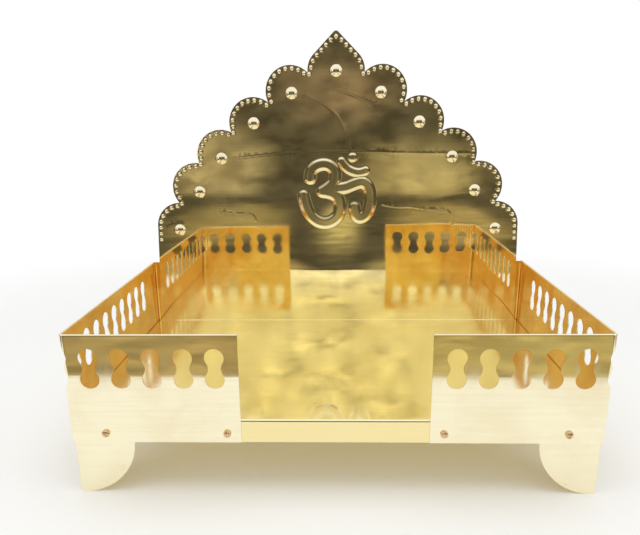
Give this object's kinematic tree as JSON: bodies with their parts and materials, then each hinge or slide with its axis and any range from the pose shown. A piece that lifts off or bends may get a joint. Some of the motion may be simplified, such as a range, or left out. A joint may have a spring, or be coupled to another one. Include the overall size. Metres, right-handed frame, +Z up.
{
  "type": "deity simhasan throne",
  "caption": "Table-top throne of bolted brass sheet for a deity figure: folded tray seat, pierced fences round its corners, scalloped back panel with embossed domes, folded sheet feet.",
  "frame": {"origin": "on the surface it stands on, under the middle of its bounding box", "axes": "+Z up, the open front faces -Y, +X to the right as seen from the front"},
  "size_m": [0.3862, 0.2592, 0.3404],
  "materials": {
    "tray_brass": "polished",
    "fence_brass": "polished",
    "panel_brass": "polished",
    "foot_brass": "polished",
    "screw_brass": "bright",
    "nut_brass": "satin"
  },
  "bodies": {
    "root": {"seat_tray": "tray_brass", "left_fence": "fence_brass", "right_fence": "fence_brass", "back_panel": "panel_brass", "front_left_foot": "foot_brass", "front_right_foot": "foot_brass", "rear_left_foot": "foot_brass", "rear_right_foot": "foot_brass", "front_screws": "screw_brass", "front_nuts": "nut_brass", "rear_screws": "screw_brass", "rear_nuts": "nut_brass", "left_side_screws": "screw_brass", "left_side_nuts": "nut_brass", "right_side_screws": "screw_brass", "right_side_nuts": "nut_brass"}
  },
  "joints": []
}
